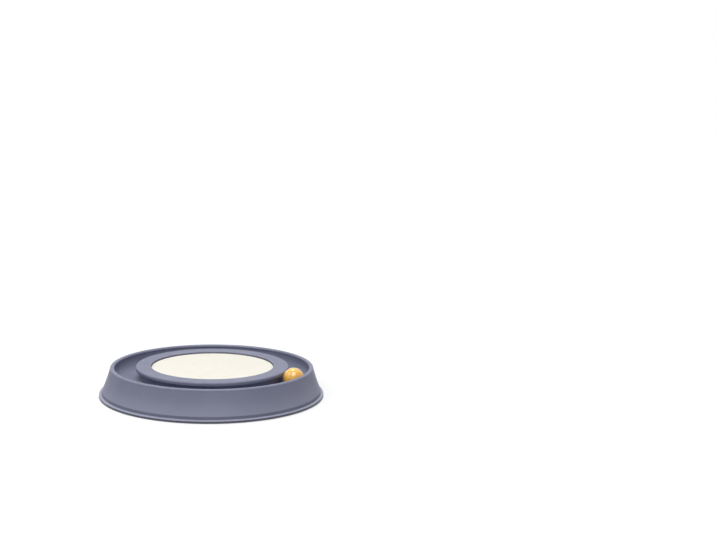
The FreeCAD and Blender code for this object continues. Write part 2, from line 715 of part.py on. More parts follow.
os.makedirs("parts", exist_ok=True)
for node in nodes:
    shape = node.Shape
    if shape.isNull() or not shape.isValid():
        raise ValueError(f"{node.Label} has no valid shape")
    shape.exportStep(f"parts/{node.Label}.step")
    box = shape.optimalBoundingBox(False)
    print(
        f"{node.Label}: {len(shape.Solids)} solid(s), {shape.Volume / 1000:.2f} cm3,"
        f" z {box.ZMin:.2f} to {box.ZMax:.2f}"
    )
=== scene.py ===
import math

import bpy
import numpy as np
from mathutils import Matrix, Vector


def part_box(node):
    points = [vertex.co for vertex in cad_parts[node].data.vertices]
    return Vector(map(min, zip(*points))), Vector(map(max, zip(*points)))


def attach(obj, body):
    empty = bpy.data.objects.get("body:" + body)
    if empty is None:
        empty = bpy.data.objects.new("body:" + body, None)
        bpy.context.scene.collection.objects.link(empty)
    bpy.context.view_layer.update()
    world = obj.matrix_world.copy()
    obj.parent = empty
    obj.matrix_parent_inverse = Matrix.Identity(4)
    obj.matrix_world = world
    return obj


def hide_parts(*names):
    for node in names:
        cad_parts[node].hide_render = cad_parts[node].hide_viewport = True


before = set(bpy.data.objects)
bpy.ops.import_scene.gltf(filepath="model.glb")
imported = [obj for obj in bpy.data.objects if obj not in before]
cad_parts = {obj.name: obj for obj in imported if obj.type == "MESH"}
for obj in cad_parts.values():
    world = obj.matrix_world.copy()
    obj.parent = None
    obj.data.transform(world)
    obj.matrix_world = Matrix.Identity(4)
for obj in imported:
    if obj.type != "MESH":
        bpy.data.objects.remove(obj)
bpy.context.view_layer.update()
print("frame loaded")

# lengths are in millimetres until a mesh is made, and in metres in the materials, the studio
# and the view
perMetre = 1000


# Shared shape making

drawing = {
    "arcTurn": 7.0,          # degrees of an arc for each of its steps,
    "arcStep": 3.0,          # or its length for each, where that gives more steps,
    "arcSteps": 6,           # and its fewest steps
    "guard": 0.6,            # a guard point on a straight side is this far from a small arc,
    "guardSide": 0.3,        # but by no more than this part of the side
    "smallArc": 5.0,         # an arc of a smaller radius is small
    "roundSteps": 4,         # steps round a softened corner
    "roundFrom": 12.0,       # a corner that turns by no more degrees isn't softened
    "sideShare": 0.4,        # a softened corner takes at most this part of its shorter side
    "guardRadius": 0.5,      # its guard points are off it by this part of its radius,
    "guardShare": 0.2,       # but by no more than this part of what it may take
    "pastAxis": -1.0,        # an open outline is closed at this radius before it is softened,
    "nearAxis": 0.01,        # and what is then nearer to the axis than this is left out
    "leastTurn": 0.01,       # radians, and
    "leastSquare": 1e-6,     # square millimetres: these two keep divisions off zero
    "sharpFrom": 35.0,       # faces that meet at more degrees are shaded apart
    "wearRadius": 1.2,       # an edge of this radius or less is fully worn
}


def boxSize(node):
    # outer radius, bottom and top of a round node: half the width of its box, and the
    # heights of the box's two ends
    low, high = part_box(node)
    return perMetre * (high.x - low.x) / 2, perMetre * low.z, perMetre * high.z


def arcBetween(start, end, radius, side):
    # points of the short arc from start to end, spaced by turn and by length, end left out.
    # Its centre is off the chord's middle by the root of the radius squared less the square
    # of half the chord
    chord = end - start
    span = np.hypot(*chord)
    normal = np.array([-chord[1], chord[0]]) / span
    depth = math.sqrt(max(radius**2 - span**2 / 4, 0))
    sign = 1 if side == "left" else -1
    centre = (start + end) / 2 + sign * normal * depth
    sweep = 2 * math.asin(min(1, span / 2 / radius))
    turns = sweep / math.radians(drawing["arcTurn"])
    steps = int(max(drawing["arcSteps"], turns, radius * sweep / drawing["arcStep"]))
    first = math.atan2(*(start - centre)[::-1])
    angle = first + sign * sweep * np.arange(steps) / steps
    return centre + radius * np.stack([np.cos(angle), np.sin(angle)], 1)


def outlineThrough(corners, arcs):
    # a closed outline through corners; arcs maps a corner's number to the radius and side
    # of the arc that leaves it, and the other sides are straight. A straight side that meets
    # a small arc has one more point near that arc
    points = np.array(corners, float)
    count = len(points)
    small = [i in arcs and arcs[i][0] < drawing["smallArc"] for i in range(count)]
    parts = []
    for i, start in enumerate(points):
        end = points[(i + 1) % count]
        if i in arcs:
            parts.append(arcBetween(start, end, *arcs[i]))
            continue
        share = min(drawing["guard"] / np.hypot(*(end - start)), drawing["guardSide"])
        inward = (end - start) * share
        parts.append(start[None])
        if small[i - 1]:
            parts.append((start + inward)[None])
        if small[(i + 1) % count]:
            parts.append((end - inward)[None])
    return np.concatenate(parts)


def softened(outline, radius):
    # each corner of a closed outline that turns enough becomes an arc tangent to both sides:
    # it starts radius times the tangent of half the turn before the corner. One guard point
    # stands before the arc and one after it
    into = outline - np.roll(outline, 1, 0)
    away = np.roll(outline, -1, 0) - outline
    lengthIn = np.linalg.norm(into, axis=1, keepdims=True)
    lengthAway = np.linalg.norm(away, axis=1, keepdims=True)
    into = into / lengthIn
    away = away / lengthAway
    crossed = into[:, :1] * away[:, 1:] - into[:, 1:] * away[:, :1]
    turn = np.arctan2(crossed, (into * away).sum(1, keepdims=True))
    sharp = np.abs(turn) > math.radians(drawing["roundFrom"])
    room = drawing["sideShare"] * np.minimum(lengthIn, lengthAway)
    reach = np.where(sharp, np.minimum(radius * np.tan(np.abs(turn) / 2), room), 0)
    halfTurn = np.maximum(np.abs(turn), drawing["leastTurn"]) / 2
    bend = np.where(sharp, reach / np.tan(halfTurn), 0) * np.sign(turn)
    normal = np.stack([-into[:, 1], into[:, 0]], 1)
    centre = outline - into * reach + normal * bend
    share = np.linspace(0, 1, drawing["roundSteps"] + 1)
    angle = turn[:, None, :] * share[None, :, None]
    spoke = -normal * bend
    across = np.stack([-spoke[:, 1], spoke[:, 0]], 1)
    curve = centre[:, None] + spoke[:, None] * np.cos(angle) + across[:, None] * np.sin(angle)
    guard = np.minimum(drawing["guardRadius"] * radius, drawing["guardShare"] * room)
    guard = np.where(sharp, guard, 0)
    before = (outline - into * (reach + guard))[:, None]
    after = (outline + away * (reach + guard))[:, None]
    rows = np.concatenate([before, curve, after], 1)
    keep = np.repeat(sharp, rows.shape[1], 1)
    keep[:, 0] = True
    return rows[keep]


def softenedToAxis(outline, radius):
    # an open outline that starts and ends on the axis, softened the same way: it is closed
    # beyond the axis first, and its part there is left out again
    past, near = drawing["pastAxis"], drawing["nearAxis"]
    closed = np.concatenate([[(past, outline[0, 1])], outline[1:-1], [(past, outline[-1, 1])]])
    rounded = softened(closed, radius)
    return np.concatenate([outline[:1], rounded[rounded[:, 0] > near], outline[-1:]])


def turnedAbout(outline, segments, centre=(0, 0)):
    # a closed outline of radius and height carried round an upright axis: x is radius times
    # the cosine of the angle and y radius times its sine
    angle = np.arange(segments) * 2 * np.pi / segments
    x = centre[0] + np.outer(np.cos(angle), outline[:, 0])
    y = centre[1] + np.outer(np.sin(angle), outline[:, 0])
    z = np.broadcast_to(outline[:, 1], x.shape)
    number = np.arange(x.size).reshape(x.shape)
    onward, upward = np.roll(number, -1, 0), np.roll(number, -1, 1)
    faces = np.stack([number, onward, np.roll(onward, -1, 1), upward], -1).reshape(-1, 4)
    return np.stack([x, y, z], -1).reshape(-1, 3), faces.tolist()


def turnedSolid(outline, segments, centre=(0, 0)):
    # an open outline that starts and ends on the axis, turned as above, with one point at
    # each pole and triangles round it
    inner, walls = turnedAbout(outline[1:-1], segments, centre)
    columns = len(outline) - 2
    poles = [(*centre, outline[0, 1]), (*centre, outline[-1, 1])]
    number = np.arange(segments * columns).reshape(segments, columns)
    onward = np.roll(number, -1, 0)
    first, last = segments * columns, segments * columns + 1
    faces = np.array(walls).reshape(segments, columns, 4)[:, :-1].reshape(-1, 4).tolist()
    faces += np.stack([np.full(segments, first), onward[:, 0], number[:, 0]], 1).tolist()
    faces += np.stack([np.full(segments, last), number[:, -1], onward[:, -1]], 1).tolist()
    return np.concatenate([inner, poles]), faces


def slabAlong(outline, thickness, bearing):
    # an upright outline of radius and height, half its thickness to each side of a bearing:
    # x is radius times the bearing's cosine less the way aside times its sine, and y is
    # radius times the sine plus the way aside times the cosine
    count = len(outline)
    side = np.repeat([-thickness / 2, thickness / 2], count)
    radius, height = np.tile(outline, (2, 1)).T
    cosine, sine = math.cos(math.radians(bearing)), math.sin(math.radians(bearing))
    points = np.stack([radius * cosine - side * sine, radius * sine + side * cosine, height], 1)
    ring = np.arange(count)
    following = (ring + 1) % count
    walls = np.stack([ring, following, following + count, ring + count], 1)
    caps = [ring[::-1].tolist(), (ring + count).tolist()]
    return points, walls.tolist() + caps


def joined(shells):
    # several point and face sets as one, each set's face numbers moved on by those before it
    starts = np.cumsum([0] + [len(points) for points, _ in shells])
    allFaces = []
    for start, (_, faces) in zip(starts, shells):
        allFaces += [(np.array(face) + start).tolist() for face in faces]
    return np.concatenate([points for points, _ in shells]), allFaces


def around(make, count, first=0.0):
    # the same shell at evenly spaced bearings
    return joined([make(first + i * 360 / count) for i in range(count)])


def middleAt(bearing, reach):
    # the place at a bearing and a reach from the object's axis: reach times the bearing's
    # cosine and sine
    angle = math.radians(bearing)
    return reach * math.cos(angle), reach * math.sin(angle)


def meshObject(name, points, faces):
    # a mesh in metres with its faces outwards: the sum of its faces' signed volumes is positive
    place = np.asarray(points) / perMetre
    mesh = bpy.data.meshes.new(name)
    mesh.from_pydata(place.tolist(), [], faces)
    mesh.update()
    mesh.calc_loop_triangles()
    corners = np.zeros(len(mesh.loop_triangles) * 3, np.int32)
    mesh.loop_triangles.foreach_get("vertices", corners)
    first, second, third = place[corners].reshape(-1, 3, 3).transpose(1, 0, 2)
    if np.einsum("ij,ij->i", first, np.cross(second, third)).sum() < 0:
        mesh.flip_normals()
    thing = bpy.data.objects.new(name, mesh)
    bpy.context.scene.collection.objects.link(thing)
    return thing


def combined(piece, others):
    # the piece with other closed meshes added to it or cut from it, one after the other
    for operation, other in others:
        step = piece.modifiers.new(operation, "BOOLEAN")
        step.operation = operation
        step.solver = "MANIFOLD"
        step.object = other
    bpy.context.view_layer.update()
    made = piece.evaluated_get(bpy.context.evaluated_depsgraph_get())
    mesh = bpy.data.meshes.new_from_object(made)
    piece.modifiers.clear()
    old = piece.data
    piece.data = mesh
    bpy.data.meshes.remove(old)
    for _, other in others:
        bpy.data.objects.remove(other)
    mesh.name = piece.name


def finished(piece, material, body, node, sharpFrom=drawing["sharpFrom"]):
    # smooth shading that breaks where faces meet at more than an angle, the material, and the
    # body, frame node and finish that the piece belongs to
    piece.data.shade_smooth()
    piece.data.set_sharp_from_angle(angle=math.radians(sharpFrom))
    piece.data.materials.clear()
    piece.data.materials.append(material)
    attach(piece, body)
    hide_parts(node)
    print(piece.name, "made,", len(piece.data.polygons), "faces")


def readings(items, name, width, kind=float):
    # one value or vector of each item of a mesh, as an array
    values = np.zeros(len(items) * width, kind)
    items.foreach_get(name, values)
    return values.reshape(-1, width)


def markEdges(piece):
    # attribute edgeWear: the second highest bend over a vertex's edges times the wear radius,
    # from 0 to 1. An edge's bend is the difference of its end normals, measured along it, over
    # its length: one over the radius there. It is high on rounded outside edges, and it stops
    # where the rounding does, because only one edge of a vertex there is bent
    mesh = piece.data
    place = readings(mesh.vertices, "co", 3) * perMetre
    normal = readings(mesh.vertex_normals, "vector", 3)
    start, end = readings(mesh.edges, "vertices", 2, np.int32).T
    way = place[end] - place[start]
    square = np.maximum((way**2).sum(1), drawing["leastSquare"])
    bend = np.tile(((normal[end] - normal[start]) * way).sum(1) / square, 2)
    owner = np.concatenate([start, end])
    order = np.lexsort((bend, owner))
    last = np.searchsorted(owner[order], np.arange(len(place)), side="right") - 1
    second = bend[order][last - 1]
    layer = mesh.attributes.new("edgeWear", "FLOAT", "POINT")
    layer.data.foreach_set("value", np.clip(second * drawing["wearRadius"], 0, 1))


# Materials: small helpers, then the node groups that several finishes share. A noise is given
# as its scale per metre, its detail and, where it isn't a half, its roughness. A span is the
# two values between which something fades in


def newGroup(name, inputs, outputs):
    # an empty shader group with its sockets and its two end nodes
    group = bpy.data.node_groups.new(name, "ShaderNodeTree")
    for way, sockets in (("INPUT", inputs), ("OUTPUT", outputs)):
        for label, kind in sockets.items():
            group.interface.new_socket(label, in_out=way, socket_type=f"NodeSocket{kind}")
    return group, group.nodes.new("NodeGroupInput"), group.nodes.new("NodeGroupOutput")


def put(tree, kind, values=None, **settings):
    # a node with its settings, and its inputs set to numbers or linked to other sockets
    node = tree.nodes.new(kind)
    for key, value in settings.items():
        setattr(node, key, value)
    for key, value in (values or {}).items():
        if isinstance(value, bpy.types.NodeSocket):
            tree.links.new(value, node.inputs[key])
        else:
            node.inputs[key].default_value = value
    return node


def useGroup(tree, group, values):
    # a shared group placed in a material with its own values
    return put(tree, "ShaderNodeGroup", values, node_tree=group).outputs


def maths(tree, operation, a, b, clamp=False):
    # a and b put together by one operation, kept from 0 to 1 if clamped
    return put(tree, "ShaderNodeMath", {0: a, 1: b}, operation=operation, use_clamp=clamp).outputs[0]


def ramped(tree, value, low, high, outLow=0.0, outHigh=1.0):
    # a value from low to high carried smoothly to outLow to outHigh
    inputs = {"Value": value, "From Min": low, "From Max": high, "To Min": outLow, "To Max": outHigh}
    return put(tree, "ShaderNodeMapRange", inputs, interpolation_type="SMOOTHSTEP").outputs["Result"]


def blended(tree, factor, a, b):
    # colour a where factor is 0 and colour b where it is 1
    return put(tree, "ShaderNodeMix", {0: factor, 6: a, 7: b}, data_type="RGBA").outputs[2]


def noise(tree, place, scale, detail, roughness=0.5, output="Fac"):
    # a cloudy pattern from 0 to 1, about a half on average
    inputs = {"Vector": place, "Scale": scale, "Detail": detail, "Roughness": roughness}
    return put(tree, "ShaderNodeTexNoise", inputs).outputs[output]


def upwardPart(tree):
    # upward part of the surface's normal: 1 on a level face and 0 on an upright one
    normal = put(tree, "ShaderNodeNewGeometry").outputs["Normal"]
    return put(tree, "ShaderNodeSeparateXYZ", {0: normal}).outputs["Z"]


def colour(red, green, blue):
    # a colour as it is seen, made linear by the sRGB curve
    def linear(c):
        return c / 12.92 if c <= 0.04045 else ((c + 0.055) / 1.055) ** 2.4

    return (linear(red), linear(green), linear(blue), 1.0)


grainShape = {
    "fine": (3.0, 0.6),          # detail and roughness of the bumps
    "broad": (9.0, 3.0, 0.55),
}


def makeGrain():
    # spark-eroded mould grain: fine bumps, and a slow drift of tone from about -1 to 1, which
    # is twice what a broad noise has over a half
    inputs = {"Place": "Vector", "Grains per metre": "Float"}
    group, start, end = newGroup("mouldGrain", inputs, {"Height": "Float", "Drift": "Float"})
    place = start.outputs["Place"]
    fine = noise(group, place, start.outputs["Grains per metre"], *grainShape["fine"])
    broad = noise(group, place, *grainShape["broad"])
    group.links.new(fine, end.inputs["Height"])
    drift = maths(group, "MULTIPLY", maths(group, "SUBTRACT", broad, 0.5), 2.0)
    group.links.new(drift, end.inputs["Drift"])
    return group


rubShape = {
    "stretch": (1.0, 4.5, 2.0),
    "turn": (0.3, 0.2, 0.7),
    "warp": (25.0, 2.0, 0.5),
    "warpBy": (0.012, 0.012, 0.012),
    "lineWidth": 0.02,
    "patches": (34.0, 2.0),
    "patchSpan": (0.5, 0.66),
}


def makeRubs():
    # thin rub marks: cell borders of a stretched, warped pattern, kept only in patches
    inputs = {"Place": "Vector", "Marks per metre": "Float", "Amount": "Float"}
    group, start, end = newGroup("rubMarks", inputs, {"Mask": "Float"})
    place = start.outputs["Place"]
    laid = {"Vector": place, "Scale": rubShape["stretch"], "Rotation": rubShape["turn"]}
    stretch = put(group, "ShaderNodeMapping", laid).outputs[0]
    warp = noise(group, place, *rubShape["warp"], "Color")
    moved = put(group, "ShaderNodeVectorMath", {0: warp, 1: rubShape["warpBy"]}, operation="MULTIPLY")
    summed = put(group, "ShaderNodeVectorMath", {0: stretch, 1: moved.outputs[0]}).outputs[0]
    inputs = {"Vector": summed, "Scale": start.outputs["Marks per metre"]}
    cells = put(group, "ShaderNodeTexVoronoi", inputs, feature="DISTANCE_TO_EDGE")
    line = ramped(group, cells.outputs["Distance"], 0.0, rubShape["lineWidth"], 1.0, 0.0)
    patch = ramped(group, noise(group, place, *rubShape["patches"]), *rubShape["patchSpan"])
    both = maths(group, "MULTIPLY", line, patch)
    group.links.new(maths(group, "MULTIPLY", both, start.outputs["Amount"], True), end.inputs["Mask"])
    return group


dustAndTopLightShape = {
    "levelSpan": (0.5, 0.98),    # upward part of the normal
    "breaks": (60.0, 6.0, 0.65),
    "breakSpan": (0.35, 0.75),
}


def makeDustAndTopLight():
    # dust that lies on level faces, and with it the warmer light painted on them: the upward part
    # of the normal, broken up by noise
    inputs = {"Place": "Vector", "Amount": "Float"}
    group, start, end = newGroup("dustAndTopLight", inputs, {"Mask": "Float"})
    level = ramped(group, upwardPart(group), *dustAndTopLightShape["levelSpan"])
    breaks = noise(group, start.outputs["Place"], *dustAndTopLightShape["breaks"])
    both = maths(group, "MULTIPLY", level, ramped(group, breaks, *dustAndTopLightShape["breakSpan"]))
    group.links.new(maths(group, "MULTIPLY", both, start.outputs["Amount"], True), end.inputs["Mask"])
    return group


fibreShape = {
    "turns": (0.5, 2.1, 3.6),    # which way each layer lies, in radians
    "stretch": (1.0, 0.16, 1.0),
    "fibres": (2.0, 0.6),        # detail and roughness
    "cloud": (45.0, 4.0, 0.6),
    "fibreShare": 0.6,           # of the tone, and the cloud has the rest
    "cloudShare": 0.4,
}


def makeFibres():
    # pressed fibres: the highest of three crossed, stretched noises as height, and a mix of
    # that and a soft cloud as tone
    inputs = {"Place": "Vector", "Fibres per metre": "Float"}
    group, start, end = newGroup("pressedFibres", inputs, {"Height": "Float", "Tone": "Float"})
    place = start.outputs["Place"]
    sheets = []
    for turn in fibreShape["turns"]:
        laid = {"Vector": place, "Scale": fibreShape["stretch"], "Rotation": (0.0, 0.0, turn)}
        laid = put(group, "ShaderNodeMapping", laid).outputs[0]
        sheets.append(noise(group, laid, start.outputs["Fibres per metre"], *fibreShape["fibres"]))
    longest = maths(group, "MAXIMUM", maths(group, "MAXIMUM", sheets[0], sheets[1]), sheets[2])
    group.links.new(longest, end.inputs["Height"])
    fibres = maths(group, "MULTIPLY", longest, fibreShape["fibreShare"])
    cloud = maths(group, "MULTIPLY", noise(group, place, *fibreShape["cloud"]), fibreShape["cloudShare"])
    group.links.new(maths(group, "ADD", fibres, cloud), end.inputs["Tone"])
    return group


mouldGrain = makeGrain()
rubMarks = makeRubs()
dustAndTopLight = makeDustAndTopLight()
pressedFibres = makeFibres()


# Materials: one look and one maker for each finish


def newMaterial(name, sockets):
    # a material with a Principled shader; constants go straight onto its sockets
    material = bpy.data.materials.new(name)
    material.use_nodes = True
    tree = material.node_tree
    shader = tree.nodes["Principled BSDF"]
    for key, value in sockets.items():
        shader.inputs[key].default_value = value
    place = put(tree, "ShaderNodeTexCoord").outputs["Object"]
    return material, tree, shader, place


def bumped(tree, shader, height, distance):
    # height times distance, in metres, tilts the normal
    node = put(tree, "ShaderNodeBump", {"Height": height, "Distance": distance, "Strength": 1.0})
    tree.links.new(node.outputs[0], shader.inputs["Normal"])


plasticLook = {
    "colour": colour(0.515, 0.526, 0.613),
    "darker": colour(0.485, 0.495, 0.58),
    # worn edges and rubs; this colour is also the painted light on the lower skirt and the flange's top
    "worn": colour(0.64, 0.65, 0.73),
    # dust; its grey on level faces also paints the warmer light that falls there
    "dust": colour(0.61, 0.61, 0.60),
    # painted shade in the step, below the foot's edge and on the recess wall
    "paintedShade": colour(0.27, 0.275, 0.30),
    "sockets": {"Specular IOR Level": 0.2},
    "driftSpan": (-0.6, 0.6),
    "smoothest": 0.47,
    "roughest": 0.58,
    "polish": (22.0, 4.0, 0.6),
    "polishSpan": (0.3, 0.7),
    "grainHeight": 0.00002,
    "grainsPerMetre": 1700.0,
    "dustAndTopLightAmount": 0.16,
    "dustRoughness": 0.3,    # added by dust
    "rubsPerMetre": 40.0,
    "rubAmount": 0.3,
    "rubPolish": 0.12,       # taken off the roughness by rubs and worn edges
    "rubDepth": 0.5,         # and off the grain
    "chips": (180.0, 4.0, 0.6),
    "chipSpan": (0.35, 0.7),
    "leastChip": 0.25,       # wear of an edge where it is least chipped,
    "mostChip": 0.6,         # and where it is most
    "wearSpan": (0.1, 0.6),  # of edgeWear
    "steepest": 0.12,        # upward part of the normal on a steep face
    "leaning": 0.24,         # and on one that isn't
    "skirtPaintedLight": 0.42,       # painted light: the skirt is a little paler towards its foot
    "skirtFrom": 0.182,
    "skirtTo": 0.195,
    "flangePaintedHighlight": 1.0,       # painted highlight: the top of the foot's flange is paler still
    "flangeFrom": 0.195,
    "stepPaintedShade": 0.22,       # painted shade on the step
    "stepFrom": 0.193,
    "footPaintedShade": 0.55,       # on the foot's side
    "footTop": 0.0034,
    "recessPaintedShade": 0.4,      # and on the wall round the pad
    "recessReach": 0.1108,
    "recessFrom": 0.041,
    "softness": 0.001,       # each of these places fades over this
}


def paintedShadeAndLight(tree, place, look):
    # where shade is painted, from 0 to 1: steep faces low on the outside, most below the foot's
    # edge, and the wall of the pad's recess; and how much painted light makes the lower skirt and
    # the flange's top paler, from 0 to 1
    soft = look["softness"]
    height = put(tree, "ShaderNodeSeparateXYZ", {0: place}).outputs["Z"]
    across = put(tree, "ShaderNodeVectorMath", {0: place, 1: (1.0, 1.0, 0.0)}, operation="MULTIPLY")
    reach = put(tree, "ShaderNodeVectorMath", {0: across.outputs[0]}, operation="LENGTH").outputs["Value"]
    steep = ramped(tree, upwardPart(tree), look["steepest"], look["leaning"], 1.0, 0.0)
    outside = ramped(tree, reach, look["stepFrom"], look["stepFrom"] + soft)
    low = look["footTop"]
    foot = ramped(tree, height, low, low + soft, look["footPaintedShade"], look["stepPaintedShade"])
    foot = maths(tree, "MULTIPLY", outside, foot)
    middle = ramped(tree, reach, look["recessReach"] - soft, look["recessReach"], look["recessPaintedShade"], 0.0)
    high = ramped(tree, height, look["recessFrom"], look["recessFrom"] + soft)
    recess = maths(tree, "MULTIPLY", middle, high)
    paintedShade = maths(tree, "MULTIPLY", maths(tree, "MAXIMUM", foot, recess), steep)
    # painted light: the lower skirt and the flange's top are paler
    skirt = ramped(tree, reach, look["skirtFrom"], look["skirtTo"], 0.0, look["skirtPaintedLight"])
    flange = ramped(tree, reach, look["flangeFrom"], look["flangeFrom"] + soft, 0.0, look["flangePaintedHighlight"])
    gentle = maths(tree, "SUBTRACT", 1.0, steep)
    fade = maths(tree, "MULTIPLY", maths(tree, "MAXIMUM", skirt, flange), gentle)
    return paintedShade, fade


def makePlastic(name, look):
    # satin moulded plastic: a slow drift between two tones, worn edges, rubs, light dust whose grey
    # also paints the warmer light on level faces, painted light on the lower skirt and the flange's
    # top, and painted shade low on the outside and on the recess wall. Its roughness is a noise
    # between two values, plus dust, less rubs
    material, tree, shader, place = newMaterial(name, look["sockets"])
    grain = useGroup(tree, mouldGrain, {"Place": place, "Grains per metre": look["grainsPerMetre"]})
    drift = ramped(tree, grain["Drift"], *look["driftSpan"])
    tone = blended(tree, drift, look["darker"], look["colour"])
    paintedShade, fade = paintedShadeAndLight(tree, place, look)
    # painted light makes the lower skirt and the flange's top paler
    tone = blended(tree, fade, tone, look["worn"])
    # dust, whose grey also paints the warmer light on level faces
    dust = useGroup(tree, dustAndTopLight, {"Place": place, "Amount": look["dustAndTopLightAmount"]})["Mask"]
    tone = blended(tree, dust, tone, look["dust"])
    marks = {"Place": place, "Marks per metre": look["rubsPerMetre"], "Amount": look["rubAmount"]}
    rubs = useGroup(tree, rubMarks, marks)["Mask"]
    edge = put(tree, "ShaderNodeAttribute", attribute_name="edgeWear").outputs["Fac"]
    chips = ramped(tree, noise(tree, place, *look["chips"]), *look["chipSpan"])
    chips = ramped(tree, chips, 0.0, 1.0, look["leastChip"], look["mostChip"])
    worn = maths(tree, "MULTIPLY", ramped(tree, edge, *look["wearSpan"]), chips)
    rubs = maths(tree, "MAXIMUM", rubs, worn)
    tone = blended(tree, rubs, tone, look["worn"])
    # painted shade in the step, below the foot's edge and on the recess wall
    tone = blended(tree, paintedShade, tone, look["paintedShade"])
    tree.links.new(tone, shader.inputs["Base Color"])
    polish = noise(tree, place, *look["polish"])
    rough = ramped(tree, polish, *look["polishSpan"], look["smoothest"], look["roughest"])
    rough = maths(tree, "ADD", rough, maths(tree, "MULTIPLY", dust, look["dustRoughness"]))
    rough = maths(tree, "SUBTRACT", rough, maths(tree, "MULTIPLY", rubs, look["rubPolish"]), True)
    tree.links.new(rough, shader.inputs["Roughness"])
    height = maths(tree, "SUBTRACT", grain["Height"], maths(tree, "MULTIPLY", rubs, look["rubDepth"]))
    bumped(tree, shader, height, look["grainHeight"])
    return material


feltLook = {
    "colour": colour(0.975, 0.963, 0.925),
    "shade": colour(0.96, 0.94, 0.885),
    "sockets": {
        "Roughness": 0.95,
        "Specular IOR Level": 0.15,
        "Sheen Weight": 0.25,
        "Sheen Roughness": 0.5,
        "Sheen Tint": colour(1.0, 0.98, 0.93),
    },
    "fibresPerMetre": 700.0,
    "fibreHeight": 0.00016,
    "toneSpan": (0.38, 0.62),
}

boardLook = {
    "colour": colour(0.66, 0.54, 0.40),
    "shade": colour(0.50, 0.39, 0.27),
    "sockets": {"Roughness": 0.8},
    "fibresPerMetre": 420.0,
    "fibreHeight": 0.0001,
    "toneSpan": (0.4, 0.62),
}


def makeFibrous(name, look):
    # needle felt or pressed board: fibres as height, and two tones that follow them and a
    # slow cloud
    material, tree, shader, place = newMaterial(name, look["sockets"])
    fibres = useGroup(tree, pressedFibres, {"Place": place, "Fibres per metre": look["fibresPerMetre"]})
    tone = blended(tree, ramped(tree, fibres["Tone"], *look["toneSpan"]), look["shade"], look["colour"])
    tree.links.new(tone, shader.inputs["Base Color"])
    bumped(tree, shader, fibres["Height"], look["fibreHeight"])
    return material


ballLook = {
    "colour": colour(1.0, 0.78, 0.32),
    "deep": colour(1.0, 0.70, 0.23),
    "sockets": {
        "Coat Weight": 0.8,
        "Coat Roughness": 0.06,
        "Subsurface Weight": 0.12,
        "Subsurface Radius": (0.006, 0.003, 0.001),
        "Subsurface Scale": 1.0,
    },
    "roughness": 0.2,
    "clouds": (55.0, 3.0),
    "cloudSpan": (0.35, 0.65),
    "rubsPerMetre": 160.0,
    "rubAmount": 0.6,
    "rubRoughness": 0.25,    # added by rubs
    "grainsPerMetre": 700.0,
    "grainShare": 0.4,       # of the height, and rubs are cut from it
    "grainHeight": 0.00001,
}


def makeBall(name, look):
    # glossy plastic: a slow drift between two ambers under a clear coat, finely scratched. Its
    # roughness is the plain one plus the rubs', and its height a share of the grain less rubs
    material, tree, shader, place = newMaterial(name, look["sockets"])
    grain = useGroup(tree, mouldGrain, {"Place": place, "Grains per metre": look["grainsPerMetre"]})
    drift = ramped(tree, noise(tree, place, *look["clouds"]), *look["cloudSpan"])
    tree.links.new(blended(tree, drift, look["deep"], look["colour"]), shader.inputs["Base Color"])
    marks = {"Place": place, "Marks per metre": look["rubsPerMetre"], "Amount": look["rubAmount"]}
    rubs = useGroup(tree, rubMarks, marks)["Mask"]
    rough = maths(tree, "ADD", maths(tree, "MULTIPLY", rubs, look["rubRoughness"]), look["roughness"])
    tree.links.new(rough, shader.inputs["Roughness"])
    height = maths(tree, "SUBTRACT", maths(tree, "MULTIPLY", grain["Height"], look["grainShare"]), rubs)
    bumped(tree, shader, height, look["grainHeight"])
    return material


steelLook = {
    "screw": colour(0.74, 0.74, 0.76),
    "screwRoughness": 0.36,
    "bead": colour(0.80, 0.80, 0.81),
    "beadRoughness": 0.22,
    "sockets": {"Metallic": 1.0},
    "darker": 0.72,          # darkest plating, as a part of the tint
    "blotches": (400.0, 4.0, 0.6),
    "blotchSpan": (0.35, 0.7),
    "stretch": (1.0, 1.0, 12.0),
    "streaks": (900.0, 2.0),
    "streakSpan": (0.3, 0.7),
    "smoother": 0.08,        # roughness is at least its middle less this
    "rougher": 0.1,          # and at most its middle and this
    "grains": (2500.0, 2.0),
    "grainHeight": 0.000008,
}


def makeSteel(name, look, part):
    # plated steel: fine streaks in roughness, and blotches of darker plating
    material, tree, shader, place = newMaterial(name, look["sockets"])
    tint, middle = look[part], look[part + "Roughness"]
    blotch = ramped(tree, noise(tree, place, *look["blotches"]), *look["blotchSpan"])
    darker = tuple(look["darker"] * c for c in tint[:3]) + (1.0,)
    tree.links.new(blended(tree, blotch, darker, tint), shader.inputs["Base Color"])
    laid = {"Vector": place, "Scale": look["stretch"]}
    streak = noise(tree, put(tree, "ShaderNodeMapping", laid).outputs[0], *look["streaks"])
    least, most = middle - look["smoother"], middle + look["rougher"]
    tree.links.new(ramped(tree, streak, *look["streakSpan"], least, most), shader.inputs["Roughness"])
    bumped(tree, shader, noise(tree, place, *look["grains"]), look["grainHeight"])
    return material


rubberLook = {
    "colour": colour(0.16, 0.16, 0.17),
    "dust": colour(0.38, 0.37, 0.36),
    "sockets": {"Specular IOR Level": 0.25},
    "grainsPerMetre": 2600.0,
    "grainHeight": 0.00004,
    "poreSpan": (0.55, 0.75),
    "poreDust": 0.5,         # most dust in a pore
    "driftSpan": (-0.6, 0.6),
    "smoothest": 0.78,
    "roughest": 0.92,
}


